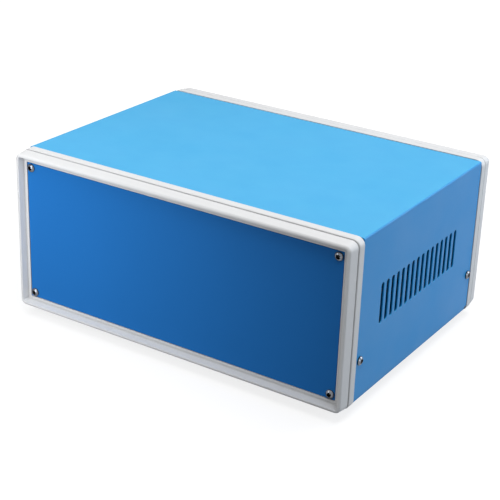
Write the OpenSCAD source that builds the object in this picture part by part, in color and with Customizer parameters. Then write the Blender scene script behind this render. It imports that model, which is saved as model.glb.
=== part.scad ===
// Bench instrument enclosure: a folded steel cover over a folded steel base, held between two moulded
// bezels that each carry a recessed sheet panel. Millimetres, +Z up, front towards -Y, origin on the
// surface the feet stand on, under the middle of the case.

/* [Case] */
// Width over the bezel flanges
case_w = 250; // [200:1:320]
// Depth over the two bezel faces
case_d = 190; // [150:1:260]
// Height of the bezel flanges
case_h = 110; // [90:1:160]
// Distance the bezel flanges stand proud of the sheet metal
flange_proud = 0.5; // [0.2:0.1:1]
// Air gap between sheets and mouldings that slide into each other
fit_gap = 0.2; // [0.1:0.05:0.3]

/* [Sheet metal] */
// Thickness of the cover and the base
sheet_t = 1; // [0.8:0.1:1.4]
// Outside radius of the folds
bend_r = 1.4; // [1.2:0.1:3]
// Height of the cover's lower edges above the flange's underside
cover_lift = 4.5; // [3:0.5:8]
// Height of the base's upturned sides
base_side_h = 36; // [34:1:42]

/* [Vents] */
// Slots in each side of the cover
vent_count = 16; // [4:1:18]
// Distance from slot to slot
vent_pitch = 6.65; // [5:0.05:8]
// Width of a slot
vent_w = 3.4; // [2:0.1:4]
// Length of a slot over its round ends
vent_len = 27; // [16:1:32]
// Height of the middle of the slots above the cover's lower edge
vent_rise = 53.5; // [50:0.5:66]
// Distance of the bank of slots from the middle of the depth
vent_shift = -2; // [-10:0.5:10]

/* [Bezels] */
// Depth of a bezel in front of the sheet metal
bezel_d = 15; // [14:0.5:20]
// Depth of the flange next to the sheet metal
flange_d = 5.8; // [3:0.1:6]
// Radius of the flange's corners
corner_r = 5; // [4.5:0.1:6]
// Width of the groove between flange and rim
groove_w = 0.8; // [0.5:0.1:2.5]
// Depth of the groove below the flange's outline
groove_depth = 1.4; // [0.8:0.1:2.6]
// Step in from the flange's outline to the rim beside the groove
rim_lip = 0.4; // [0:0.1:0.7]
// Step in from the flange's outline to the rim at its front, to which it tapers
rim_step = 1.1; // [0.5:0.1:1.5]
// Radius of the rim's outer front edge
rim_r = 1.7; // [0.6:0.1:1.9]
// Width from the flange's outline to the panel's opening
rim_w = 6.9; // [6.8:0.1:8]
// Radius of the rim's inner front edge
rim_inner_r = 0.6; // [0.3:0.1:1.2]
// Width of the flat strip of the rim round the panel
strip_w = 2.1; // [1.5:0.1:2.6]
// Depth of the flat strip behind the rim's face
strip_d = 4.4; // [3:0.1:4.6]
// Width of the sloping inner face of the rim, from the flat strip to the crest of the rim
slope_w = 1.9; // [1.4:0.1:2]
// Depth of the panel's face behind the rim's face
recess_d = 4.7; // [4:0.1:5.2]
// Width of the ledge the panel seats on
ledge_w = 3; // [2:0.1:4]
// Thickness of the ledge
ledge_t = 2; // [1.5:0.1:3]
// Thickness of the moulding from the flange's outline to its inside
bezel_wall = 4.8; // [4.4:0.1:6]
// Length of the tongue inside the cover and base
tongue_l = 10; // [9:0.5:16]
// Thickness of the stiffening ribs behind the rim
rib_t = 2; // [1.2:0.1:3]
// Distance from rib to rib
rib_pitch = 40; // [25:1:60]

/* [Panels] */
// Thickness of the front and rear panels
panel_t = 1.5; // [1:0.1:2]
// Air gap between a panel's edge and its opening
panel_gap = 0.35; // [0.1:0.05:0.5]
// Distance of the panel screws from the edges of the opening
panel_screw_inset = 3.6; // [3.3:0.1:6]

/* [Screws] */
// Diameter of the tapping screws
screw_d = 2.9; // [2.2:0.1:3.2]
// Diameter of their pan heads
head_d = 5.6; // [4.5:0.1:6.4]
// Height of their pan heads
head_h = 2; // [1.6:0.1:2.4]
// Length of a panel screw under its head
panel_screw_l = 9.5; // [8:0.5:12]
// Length of a cover screw under its head
cover_screw_l = 9.5; // [8:0.5:12]
// Length of a bezel screw under its head
bezel_screw_l = 8; // [6:0.5:12]
// Distance of the cover and bezel screws from the ends of the sheets
end_inset = 4.5; // [4:0.1:6]
// Height of the cover screws above the cover's lower edge
cover_screw_rise = 25; // [16:1:29]
// Distance of the bezel screws from the middle of the width
bezel_screw_x = 62; // [40:1:75]
// Width of the recess across the head
cross_l = 3.6; // [2.4:0.1:4.3]
// Width of one arm of the recess
cross_w = 1.7; // [0.6:0.1:2]
// Depth of the recess
cross_depth = 1.4; // [0.8:0.1:1.6]
// Thickness of plastic round a screw
boss_wall = 2.6; // [2:0.1:3]

/* [Feet] */
// Height of a rubber foot
foot_h = 7; // [6:0.5:10]
// Diameter of a foot at the base
foot_d = 16; // [14:0.5:22]
// Taper of a foot's side, base to floor
foot_taper = 0.8; // [0:0.1:1.5]
// Rounding of a foot's lower edge
foot_edge_r = 1; // [0.5:0.1:1.5]
// Diameter of the recess in a foot
foot_recess_d = 8; // [7.6:0.1:9]
// Thickness of rubber between the recess and the base
foot_web = 3.5; // [2:0.1:3.5]
// Distance of the feet from the outside of the case, left and right
foot_inset_x = 28; // [22:1:45]
// Distance of the feet from the ends of the sheets
foot_inset_y = 18; // [18:1:40]
// Diameter of the foot screws
foot_screw_d = 3; // [2.5:0.1:3]
// Diameter of the foot screws' heads
foot_head_d = 5.6; // [5:0.1:6]
// Height of the foot screws' heads
foot_head_h = 1.9; // [1.6:0.1:2.2]
// Diameter of the washers in the feet
washer_d = 7; // [6.4:0.1:7.4]
// Thickness of the washers in the feet
washer_t = 0.5; // [0.4:0.1:0.8]
// Width of the foot nuts across flats
nut_w = 5.5; // [5:0.1:6.5]
// Height of the foot nuts
nut_h = 2.4; // [1.8:0.1:3]

/* [Hidden] */
$fn = 64;

// Clearances that no drawing would change
hole_gap = 0.25;
thread_gap = 0.05;
tip_gap = 0.6;
screw_tip_l = 2;
thread_past_nut = 0.6;
overlap = 1;
// Distance the rim's slope passes inside the rounding it runs into
slope_bite = 0.03;

// Levels above the floor
base_z = foot_h;
flange_z = base_z - flange_proud;
cover_z = flange_z + cover_lift;
cover_top = flange_z + case_h - flange_proud;
mid_z = flange_z + case_h / 2;
base_side_top = base_z + base_side_h;

// Sheet metal, between the flanges
sheet_d = case_d - 2 * bezel_d - 2 * fit_gap;
cover_w = case_w - 2 * flange_proud;
cover_h = cover_top - cover_z;
base_w = cover_w - 2 * sheet_t - 2 * fit_gap;
fold_in_r = bend_r - sheet_t;
end_y = sheet_d / 2 - end_inset;
cover_screw_z = cover_z + cover_screw_rise;

// Bezel openings, as half widths and half heights about the middle of the flange
opening = [case_w / 2 - rim_w, case_h / 2 - rim_w];
through = [opening.x - ledge_w, opening.y - ledge_w];
inside = [case_w / 2 - bezel_wall, case_h / 2 - bezel_wall];
ledge_d = recess_d + panel_t;
panel_screw = [opening.x - panel_screw_inset, opening.y - panel_screw_inset];
tongue_end = bezel_d + tongue_l;
screw_depth = bezel_d + fit_gap + end_inset;

// Plastic that the screws tap into
boss_r = screw_d / 2 + boss_wall;
post_l = panel_screw_l - panel_t + tip_gap + boss_wall;
tongue_w = base_w - 2 * sheet_t - 2 * fit_gap;
tongue_z = base_z + sheet_t + fit_gap;
cover_boss_l = cover_screw_l - 2 * sheet_t - 2 * fit_gap + tip_gap + boss_wall;
bezel_boss_l = bezel_screw_l - sheet_t - fit_gap + tip_gap + boss_wall;

// Feet
foot_x = case_w / 2 - foot_inset_x;
foot_y = sheet_d / 2 - foot_inset_y;
foot_seat_z = base_z - foot_web;
foot_head_z = foot_seat_z - washer_t;
foot_screw_l = washer_t + foot_web + sheet_t + nut_h + thread_past_nut;

BLUE = [0.16, 0.5, 0.82];
PALE = [0.88, 0.88, 0.89];
STEEL = [0.72, 0.73, 0.75];
RUBBER = [0.1, 0.1, 0.11];

// Flat outline standing on y = 0 with its two upper corners rounded
module arch(w, h, r) {
  translate([-w / 2, 0]) square([w, h - r]);
  translate([r - w / 2, 0]) square([w - 2 * r, h]);
  for (side = [-1, 1]) translate([side * (w / 2 - r), h - r]) circle(r);
}

// Folded channel, open downwards, standing on z = 0 and centred along Y
module folded_channel(w, h) {
  rotate([90, 0, 0])
    linear_extrude(sheet_d, center = true)
      difference() {
        arch(w, h, bend_r);
        translate([0, -overlap]) arch(w - 2 * sheet_t, h - sheet_t + overlap, fold_in_r);
      }
}

// Round-ended slot along Z, cut through everything along X
module side_slot(w, l) {
  rotate([90, 0, 90])
    linear_extrude(case_w + overlap, center = true) {
      square([w, l - w], center = true);
      for (end = [-1, 1]) translate([0, end * (l - w) / 2]) circle(w / 2);
    }
}

// Bank of vent slots through both sides of the cover
module vent_bank() {
  for (i = [0 : vent_count - 1])
    translate([0, vent_shift + (i - (vent_count - 1) / 2) * vent_pitch, cover_z + vent_rise])
      side_slot(vent_w, vent_len);
}

// Round holes along X at the four cover screws
module cover_screw_holes(r) {
  for (end = [-1, 1])
    translate([0, end * end_y, cover_screw_z])
      rotate([0, 90, 0]) cylinder(r = r, h = case_w + overlap, center = true);
}

module top_cover() {
  color(BLUE)
    difference() {
      translate([0, 0, cover_z]) folded_channel(cover_w, cover_h);
      vent_bank();
      cover_screw_holes(screw_d / 2 + hole_gap);
    }
}

// Copies of the children at the four feet
module at_feet() {
  for (x = [-foot_x, foot_x], y = [-foot_y, foot_y]) translate([x, y, 0]) children();
}

module base_tray() {
  color(BLUE)
    difference() {
      translate([0, 0, base_side_top]) mirror([0, 0, 1]) folded_channel(base_w, base_side_h);
      cover_screw_holes(screw_d / 2 + hole_gap);
      at_feet() translate([0, 0, base_z - overlap]) cylinder(r = foot_screw_d / 2 + hole_gap, h = 3 * overlap);
      for (x = [-bezel_screw_x, bezel_screw_x], end = [-1, 1])
        translate([x, end * end_y, base_z - overlap]) cylinder(r = screw_d / 2 + hole_gap, h = 3 * overlap);
    }
}

// Half section of a bezel from the centre of its corner arc outwards, x outwards and y backwards
module rim_section() {
  rim_x = corner_r - rim_step;
  rim_back = bezel_d - flange_d - groove_w;
  translate([0, bezel_d - flange_d]) square([corner_r, flange_d]);
  translate([0, rim_back]) square([corner_r - groove_depth, groove_w]);
  polygon([[0, rim_r], [rim_x, rim_r], [corner_r - rim_lip, rim_back], [0, rim_back]]);
  square([rim_x - rim_r, rim_r]);
  intersection() {
    translate([rim_x - rim_r, rim_r]) circle(rim_r);
    square([rim_x, rim_r]);
  }
}

// Solid bezel blank: the section swept round the corners and sides, and the middle filled
module bezel_blank() {
  for (turn = [0 : 3]) {
    half = turn % 2 == 0 ? [case_w / 2, case_h / 2] : [case_h / 2, case_w / 2];
    rotate([0, 0, 90 * turn])
      translate([half.x - corner_r, half.y - corner_r, 0]) {
        rotate_extrude(angle = 90) rim_section();
        rotate([90, 0, 0]) linear_extrude(2 * (half.y - corner_r)) rim_section();
      }
  }
  translate([corner_r - case_w / 2, corner_r - case_h / 2, 0])
    cube([case_w - 2 * corner_r, case_h - 2 * corner_r, bezel_d]);
}

// Side view of the panel opening at one half width: straight round the panel, a flat strip, then a slope
// that runs smoothly into the rounded crest at the rim's face
module opening_profile(half) {
  outer = half + strip_w;
  face = outer + slope_w;
  reach = strip_d - rim_inner_r;
  line_r = rim_inner_r - slope_bite;
  lean = atan2(reach, slope_w) - acos(line_r / norm([slope_w, reach]));
  touch = [face - line_r * cos(lean), rim_inner_r + line_r * sin(lean)];
  difference() {
    polygon([
      [-half, ledge_d], [-half, strip_d], [-outer, strip_d], [-touch.x, touch.y],
      [-face, rim_inner_r], [-face, -overlap], [face, -overlap], [face, rim_inner_r],
      [touch.x, touch.y], [outer, strip_d], [half, strip_d], [half, ledge_d]
    ]);
    for (side = [-1, 1]) translate([side * face, rim_inner_r]) circle(rim_inner_r);
  }
}

// Panel opening: the common part of a long cut across and a long cut up the bezel
module panel_opening() {
  intersection() {
    rotate([90, 0, 0]) mirror([0, 0, 1]) linear_extrude(case_h, center = true) opening_profile(opening.x);
    rotate([90, 0, 90]) linear_extrude(case_w, center = true) opening_profile(opening.y);
  }
}

// Outline of the tongue: inside the cover above the base's sides, inside the base below them
module tongue_outline() {
  split = base_side_top + fit_gap - mid_z;
  upper_w = cover_w - 2 * sheet_t - 2 * fit_gap;
  upper_top = cover_top - sheet_t - fit_gap - mid_z;
  translate([0, split]) arch(upper_w, upper_top - split, bend_r);
  translate([0, split]) mirror([0, 1]) arch(tongue_w, split + mid_z - tongue_z, bend_r);
}

// Post that a panel screw taps into, at the upper right corner, reaching both inner walls
module panel_post() {
  linear_extrude(post_l) {
    circle(boss_r);
    translate([0, -boss_r]) square([inside.x - panel_screw.x + overlap, inside.y - panel_screw.y + boss_r + overlap]);
    translate([-boss_r, 0]) square([inside.x - panel_screw.x + boss_r + overlap, inside.y - panel_screw.y + overlap]);
  }
}

// Ribs that tie the ledge to the long walls
module rim_ribs() {
  rib_count = 2 * floor((panel_screw.x - 2 * boss_r) / rib_pitch) + 1;
  for (i = [0 : rib_count - 1], side = [0, 1])
    mirror([0, side])
      translate([(i - (rib_count - 1) / 2) * rib_pitch - rib_t / 2, through.y, ledge_d])
        cube([rib_t, inside.y - through.y + overlap, bezel_d - ledge_d]);
}

// Moulded bezel lying on its face: x across, y up from its middle, z backwards from its face
module bezel_moulding() {
  difference() {
    union() {
      difference() {
        union() {
          bezel_blank();
          translate([0, 0, bezel_d - flange_d]) linear_extrude(flange_d + tongue_l) tongue_outline();
        }
        panel_opening();
        translate([-through.x, -through.y, recess_d]) cube([2 * through.x, 2 * through.y, tongue_end]);
        translate([-inside.x, -inside.y, ledge_d + ledge_t]) cube([2 * inside.x, 2 * inside.y, tongue_end]);
      }
      rim_ribs();
      for (sx = [0, 1], sy = [0, 1])
        mirror([sx, 0]) mirror([0, sy]) translate([panel_screw.x, panel_screw.y, ledge_d]) panel_post();
      for (side = [0, 1])
        mirror([side, 0]) {
          translate([tongue_w / 2 - cover_boss_l, cover_screw_z - mid_z - boss_r, bezel_d])
            cube([cover_boss_l - overlap, 2 * boss_r, tongue_l]);
          translate([bezel_screw_x - boss_r, tongue_z - mid_z + overlap, bezel_d])
            cube([2 * boss_r, bezel_boss_l - overlap, tongue_l]);
        }
    }
    for (side = [0, 1])
      mirror([side, 0]) {
        for (up = [0, 1])
          mirror([0, up])
            translate([panel_screw.x, panel_screw.y, ledge_d - overlap])
              cylinder(r = screw_d / 2 + thread_gap, h = panel_screw_l - panel_t + tip_gap + overlap);
        translate([cover_w / 2, cover_screw_z - mid_z, screw_depth])
          rotate([0, -90, 0]) cylinder(r = screw_d / 2 + thread_gap, h = cover_screw_l + tip_gap);
        translate([bezel_screw_x, base_z - mid_z, screw_depth])
          rotate([-90, 0, 0]) cylinder(r = screw_d / 2 + thread_gap, h = bezel_screw_l + tip_gap);
      }
  }
}

// Puts children, modelled from a bezel's face backwards, at the rear of the case
module at_rear() {
  translate([0, case_d / 2, mid_z]) rotate([90, 0, 0]) children();
}

// The same at the front of the case
module at_front() {
  rotate([0, 0, 180]) at_rear() children();
}

module front_bezel() {
  color(PALE) at_front() bezel_moulding();
}

module rear_bezel() {
  color(PALE) at_rear() bezel_moulding();
}

// Flat panel with a screw hole at each corner, in the bezel's own frame
module panel_sheet() {
  half = [opening.x - panel_gap, opening.y - panel_gap];
  translate([0, 0, recess_d])
    linear_extrude(panel_t)
      difference() {
        square(2 * half, center = true);
        for (x = [-panel_screw.x, panel_screw.x], y = [-panel_screw.y, panel_screw.y])
          translate([x, y]) circle(screw_d / 2 + hole_gap);
      }
}

module front_panel() {
  color(BLUE) at_front() panel_sheet();
}

module rear_panel() {
  color(BLUE) at_rear() panel_sheet();
}

// Pan head with a cross recess, seated on z = 0 and pointing up
module pan_head(d, h) {
  side_h = h / 3;
  dome_h = h - side_h;
  dome_r = (d * d / 4 + dome_h * dome_h) / (2 * dome_h);
  difference() {
    rotate_extrude() {
      square([d / 2, side_h]);
      intersection() {
        translate([0, h - dome_r]) circle(dome_r);
        translate([0, side_h]) square([d / 2, dome_h]);
      }
    }
    for (turn = [0, 90])
      rotate([0, 0, turn])
        translate([-cross_l / 2, -cross_w / 2, h - cross_depth]) cube([cross_l, cross_w, cross_depth + overlap]);
  }
}

// Pointed tapping screw, head up, seated on z = 0
module tapping_screw(l) {
  pan_head(head_d, head_h);
  rotate_extrude()
    polygon([[0, 0], [0, -l], [screw_d / 2, screw_tip_l - l], [screw_d / 2, 0]]);
}

// Flat-ended machine screw, head up, seated on z = 0
module machine_screw(l) {
  pan_head(foot_head_d, foot_head_h);
  translate([0, 0, -l]) cylinder(r = foot_screw_d / 2, h = l);
}

// Four panel screws in a bezel's own frame, heads towards its face
module panel_screw_set() {
  for (x = [-panel_screw.x, panel_screw.x], y = [-panel_screw.y, panel_screw.y])
    translate([x, y, recess_d]) rotate([180, 0, 0]) tapping_screw(panel_screw_l);
}

module front_panel_screws() {
  color(STEEL) at_front() panel_screw_set();
}

module rear_panel_screws() {
  color(STEEL) at_rear() panel_screw_set();
}

// Two cover screws on the right side of the case
module cover_screw_pair() {
  for (end = [-1, 1])
    translate([cover_w / 2, end * end_y, cover_screw_z]) rotate([0, 90, 0]) tapping_screw(cover_screw_l);
}

module right_cover_screws() {
  color(STEEL) cover_screw_pair();
}

module left_cover_screws() {
  color(STEEL) rotate([0, 0, 180]) cover_screw_pair();
}

// Two screws from under the base into the rear bezel
module bezel_screw_pair() {
  for (x = [-bezel_screw_x, bezel_screw_x])
    translate([x, end_y, base_z]) rotate([180, 0, 0]) tapping_screw(bezel_screw_l);
}

module rear_bezel_screws() {
  color(STEEL) bezel_screw_pair();
}

module front_bezel_screws() {
  color(STEEL) rotate([0, 0, 180]) bezel_screw_pair();
}

// Rubber foot standing on z = 0, tapered, with a stepped hole for its screw
module foot() {
  tread_r = foot_d / 2 - foot_taper;
  rotate_extrude()
    difference() {
      union() {
        polygon([[0, 0], [tread_r - foot_edge_r, 0], [tread_r, foot_edge_r], [foot_d / 2, foot_h], [0, foot_h]]);
        intersection() {
          translate([tread_r - foot_edge_r, foot_edge_r]) circle(foot_edge_r);
          square([tread_r, foot_edge_r]);
        }
      }
      translate([0, -overlap]) square([foot_recess_d / 2, foot_seat_z + overlap]);
      translate([0, -overlap]) square([foot_screw_d / 2 + hole_gap, foot_h + 2 * overlap]);
    }
}

// One foot at a corner of the base, by the signs of its x and y
module placed_foot(sx, sy) {
  color(RUBBER) translate([sx * foot_x, sy * foot_y, 0]) foot();
}

module foot_front_left() {
  placed_foot(-1, -1);
}

module foot_front_right() {
  placed_foot(1, -1);
}

module foot_rear_left() {
  placed_foot(-1, 1);
}

module foot_rear_right() {
  placed_foot(1, 1);
}

module foot_washers() {
  color(STEEL)
    at_feet()
      translate([0, 0, foot_head_z])
        linear_extrude(washer_t)
          difference() {
            circle(washer_d / 2);
            circle(foot_screw_d / 2 + hole_gap);
          }
}

module foot_screws() {
  color(STEEL) at_feet() translate([0, 0, foot_head_z]) rotate([180, 0, 0]) machine_screw(foot_screw_l);
}

module foot_nuts() {
  color(STEEL)
    at_feet()
      translate([0, 0, base_z + sheet_t])
        difference() {
          cylinder(r = nut_w / 2 / cos(30), h = nut_h, $fn = 6);
          translate([0, 0, -overlap]) cylinder(r = foot_screw_d / 2 + thread_gap, h = nut_h + 2 * overlap);
        }
}

top_cover();
base_tray();
front_bezel();
rear_bezel();
front_panel();
rear_panel();
foot_front_left();
foot_front_right();
foot_rear_left();
foot_rear_right();
foot_washers();
foot_screws();
foot_nuts();
front_panel_screws();
rear_panel_screws();
left_cover_screws();
right_cover_screws();
front_bezel_screws();
rear_bezel_screws();
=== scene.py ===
"""Bench instrument enclosure: fine shapes, finishes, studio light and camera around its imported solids."""
import logging
import math
from dataclasses import dataclass, field
from enum import Enum
from itertools import product
from typing import Callable, Iterable, Sequence

import bmesh
import bpy
from mathutils import Matrix, Vector


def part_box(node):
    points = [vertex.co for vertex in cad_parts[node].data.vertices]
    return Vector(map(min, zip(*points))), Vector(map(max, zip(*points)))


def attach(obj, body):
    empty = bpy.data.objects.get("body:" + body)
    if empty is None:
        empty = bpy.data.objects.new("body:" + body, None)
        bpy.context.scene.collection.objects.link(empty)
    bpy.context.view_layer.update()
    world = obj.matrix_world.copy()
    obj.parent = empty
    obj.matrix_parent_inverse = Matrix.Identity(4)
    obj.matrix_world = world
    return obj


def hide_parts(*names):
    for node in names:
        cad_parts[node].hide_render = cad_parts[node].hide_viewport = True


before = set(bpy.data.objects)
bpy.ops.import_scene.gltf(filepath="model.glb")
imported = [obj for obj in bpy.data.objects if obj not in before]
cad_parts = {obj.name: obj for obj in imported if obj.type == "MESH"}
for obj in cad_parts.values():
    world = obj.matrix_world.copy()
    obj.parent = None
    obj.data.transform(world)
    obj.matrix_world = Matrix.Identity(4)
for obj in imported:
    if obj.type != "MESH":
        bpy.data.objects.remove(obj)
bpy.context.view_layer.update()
LOG = logging.getLogger("enclosure")

MM = 0.001
BODY = "root"
WELD = 0.0005 * MM
CREASE = math.radians(40)
EDGE_STEPS = 3
FOLD_STEPS = 8
HOLE_STEPS = 12
CORNER_STEPS = 10
TURN_STEPS = 40
BORE_STEPS = 24
SIGNS = (-1, 1)
# Range that holds most values of a noise texture.
NOISE_RANGE = (0.3, 0.7)
COLOR = "NodeSocketColor"
VALUE = "NodeSocketFloat"
BLACK = (0.0, 0.0, 0.0, 1.0)
WHITE = (1.0, 1.0, 1.0, 1.0)

Point = tuple[float, float, float]
Flat = tuple[float, float]
Rgb = tuple[float, float, float]
Ring = list[bmesh.types.BMVert]
Ripple = Callable[[float, float], float]
Span = tuple[object, object]
Socket = bpy.types.NodeSocket
Outputs = bpy.types.NodeOutputs
Sockets = dict[str, Socket]


class End(Enum):
    """End of the case, as the sign of its place along Y."""

    FRONT = -1
    REAR = 1


class Hand(Enum):
    """Side of the case, as the sign of its place along X."""

    LEFT = -1
    RIGHT = 1


class Opening(Enum):
    """Way that a folded channel opens, as the sign from its open edges to its web."""

    DOWN = 1
    UP = -1


class Tip(Enum):
    """Shape of a screw's far end."""

    CONE = "cone"
    FLAT = "flat"


class Join(Enum):
    """How two closed skins are combined."""

    ADD = "UNION"
    CUT = "DIFFERENCE"
    COMMON = "INTERSECT"


class Mix(Enum):
    """What a mix node mixes, as its type, the places of both inputs and that of the output."""

    VALUES = ("FLOAT", 2, 3, 0)
    COLORS = ("RGBA", 6, 7, 2)


def arc(centre: Flat, radius: float, start: float, stop: float, steps: int) -> list[Flat]:
    """Points along a round stretch.

    Args:
        centre: Middle of the circle.
        radius: Radius of the circle.
        start: First angle in degrees, counter-clockwise from the first axis.
        stop: Last angle in degrees.
        steps: Straight stretches that stand for the arc.

    Returns:
        One point more than there are steps.
    """
    angles = [math.radians(start + (stop - start) * i / steps) for i in range(steps + 1)]
    return [(centre[0] + radius * math.cos(a), centre[1] + radius * math.sin(a)) for a in angles]


def circle(radius: float, steps: int) -> list[Flat]:
    """Closed round outline about the origin, each point once."""
    return arc((0, 0), radius, 0, 360, steps)[:-1]


def rectangle(left: float, right: float, low: float, high: float) -> list[Flat]:
    """Closed outline with four corners."""
    return [(left, low), (right, low), (right, high), (left, high)]


def sheet_edge(sheet: float, radius: float) -> list[Flat]:
    """Section of a rounded sheet edge, as inset and depth from the outer face to the inner."""
    upper = arc((radius, radius), radius, 270, 180, EDGE_STEPS)
    return upper + arc((radius, sheet - radius), radius, 180, 90, EDGE_STEPS)


def as_is(x: float, y: float, z: float) -> Point:
    """Leaves a point where it is."""
    return (x, y, z)


def middle_of(node: str) -> Vector:
    """Middle of a CAD node's box."""
    return sum(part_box(node), Vector()) / 2


def stand(name: str, data: bpy.types.ID) -> bpy.types.Object:
    """Puts an object into the scene.

    Args:
        name: Name of the object.
        data: Its mesh, lamp or camera.

    Returns:
        The object.
    """
    made = bpy.data.objects.new(name, data)
    bpy.context.scene.collection.objects.link(made)
    return made


class Skin:
    """Mesh under construction, with the few moves that all pieces share."""

    def __init__(self) -> None:
        """Starts with no vertices."""
        self.bm = bmesh.new()

    def ring(self, points: Iterable[Point]) -> Ring:
        """Adds one vertex at each point."""
        return [self.bm.verts.new(point) for point in points]

    def loft(self, rings: Sequence[Ring], round_trip: bool = False) -> None:
        """Joins each closed ring to the next with quads.

        Args:
            rings: Rings of equal length.
            round_trip: Whether the last ring is joined to the first.
        """
        pairs = list(zip(rings, rings[1:]))
        if round_trip:
            pairs.append((rings[-1], rings[0]))
        for first, second in pairs:
            for i in range(len(first)):
                j = (i + 1) % len(first)
                self.bm.faces.new((first[i], first[j], second[j], second[i]))

    def cap(self, ring: Ring) -> None:
        """Closes a ring with one flat face."""
        self.bm.faces.new(ring)

    def cone(self, ring: Ring, tip: Point) -> None:
        """Closes a ring with triangles.

        Args:
            ring: Ring to close.
            tip: Point at which the triangles meet.
        """
        apex = self.bm.verts.new(tip)
        for i in range(len(ring)):
            self.bm.faces.new((ring[i], ring[(i + 1) % len(ring)], apex))

    def web(self, rings: Sequence[Ring]) -> None:
        """Fills a flat face between its outline and the holes in it.

        Args:
            rings: The outline and the holes, in any order.
        """
        edges = []
        for ring in rings:
            for i in range(len(ring)):
                pair = (ring[i], ring[(i + 1) % len(ring)])
                edges.append(self.bm.edges.get(pair) or self.bm.edges.new(pair))
        bmesh.ops.triangle_fill(self.bm, use_beauty=True, use_dissolve=False, edges=edges)

    def barrel(self, rings: Sequence[Ring]) -> None:
        """Joins rings and closes both ends.

        Args:
            rings: Rings of equal length, the first and the last of them flat.
        """
        self.loft(rings)
        self.cap(rings[0])
        self.cap(rings[-1])

    def prism(self, outline: Sequence[Flat], low: float, high: float, place: Callable[..., Point]) -> None:
        """Adds a closed prism.

        Args:
            outline: Flat outline.
            low: First level along the third axis.
            high: Last level along the third axis.
            place: Takes the two flat values and the level to a point.
        """
        self.barrel([self.ring(place(a, b, level) for a, b in outline) for level in (low, high)])

    def mesh(self, name: str) -> bpy.types.Mesh:
        """Turns the skin into mesh data with its faces outwards.

        Args:
            name: Name of the mesh.

        Returns:
            The mesh; the skin is used up.
        """
        bmesh.ops.remove_doubles(self.bm, verts=self.bm.verts, dist=WELD)
        bmesh.ops.recalc_face_normals(self.bm, faces=self.bm.faces)
        data = bpy.data.meshes.new(name)
        self.bm.to_mesh(data)
        self.bm.free()
        return data


def combine(base: Skin, tool: Skin, join: Join) -> Skin:
    """Combines two closed skins.

    Args:
        base: Skin to work on.
        tool: Skin to add, cut away or keep the common part of.
        join: Which of these.

    Returns:
        The combined skin; both others are used up.
    """
    worked, other = stand("base", base.mesh("base")), stand("tool", tool.mesh("tool"))
    modifier = worked.modifiers.new("combine", "BOOLEAN")
    modifier.operation = join.value
    modifier.solver = "EXACT"
    modifier.object = other
    evaluated = worked.evaluated_get(bpy.context.evaluated_depsgraph_get())
    made = Skin()
    made.bm.from_mesh(evaluated.to_mesh())
    for holder in (worked, other):
        bpy.data.meshes.remove(holder.data)
    return made


def repeat(skin: Skin, places: Sequence[Matrix]) -> Skin:
    """Copies of one skin at several places.

    Args:
        skin: Skin of one piece, which is used up.
        places: Where the copies go.

    Returns:
        One skin that holds all the copies.
    """
    pattern = skin.mesh("pattern")
    made = Skin()
    for place in places:
        copy = pattern.copy()
        copy.transform(place)
        made.bm.from_mesh(copy)
        bpy.data.meshes.remove(copy)
    bpy.data.meshes.remove(pattern)
    return made


class Wiring:
    """Adds nodes to one node tree and links them."""

    def __init__(self, tree: bpy.types.NodeTree) -> None:
        """Works on the given tree."""
        self.tree = tree

    def feed(self, value: object, socket: Socket) -> None:
        """Gives a socket its value.

        Args:
            value: Socket to link, or the value itself.
            socket: Socket that takes it.
        """
        if isinstance(value, Socket):
            self.tree.links.new(value, socket)
        else:
            socket.default_value = value

    def add(self, kind: str, inputs: dict | None = None, **settings: object) -> bpy.types.Node:
        """Adds one node.

        Args:
            kind: Type of the node.
            inputs: Values or sockets for its inputs, by name or index.
            **settings: The node's own properties.

        Returns:
            The node.
        """
        node = self.tree.nodes.new(kind)
        for key, value in settings.items():
            setattr(node, key, value)
        for key, value in (inputs or {}).items():
            self.feed(value, node.inputs[key])
        return node

    def math(self, operation: str, first: object, second: object) -> Socket:
        """Result of one step of arithmetic on two values."""
        return self.add("ShaderNodeMath", {0: first, 1: second}, operation=operation).outputs[0]

    def noise(self, scale: object, detail: float) -> Socket:
        """Smooth noise in the object's own space, about 0.5.

        Args:
            scale: Waves per metre.
            detail: Finer octaves in it.

        Returns:
            The noise.
        """
        coordinates = self.add("ShaderNodeTexCoord").outputs["Object"]
        inputs = {"Vector": coordinates, "Scale": scale, "Detail": detail}
        return self.add("ShaderNodeTexNoise", inputs).outputs["Fac"]

    def remap(self, value: object, source: Span, target: Span, kind: str) -> Socket:
        """Takes a value from one range to another.

        Args:
            value: Value to take.
            source: Range that it has.
            target: Range that it gets.
            kind: Type of the rise between the ends.

        Returns:
            The new value.
        """
        (start, stop), (low, high) = source, target
        inputs = {"Value": value, "From Min": start, "From Max": stop, "To Min": low, "To Max": high}
        return self.add("ShaderNodeMapRange", inputs, interpolation_type=kind).outputs["Result"]

    def spread(self, noise: object, target: Span) -> Socket:
        """Takes noise about 0.5 to a range of its own."""
        return self.remap(noise, NOISE_RANGE, target, "LINEAR")

    def ease(self, value: object, source: Span, target: Span = (0.0, 1.0)) -> Socket:
        """Takes a value from one range to another with soft ends."""
        return self.remap(value, source, target, "SMOOTHSTEP")

    def mix(self, kind: Mix, factor: object, first: object, second: object) -> Socket:
        """Mixes two values or two colours.

        Args:
            kind: Which of these.
            factor: Share of the second.
            first: First value or colour.
            second: Second value or colour.

        Returns:
            The mix.
        """
        data_type, one, other, result = kind.value
        inputs = {"Factor": factor, one: first, other: second}
        return self.add("ShaderNodeMix", inputs, data_type=data_type).outputs[result]


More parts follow.
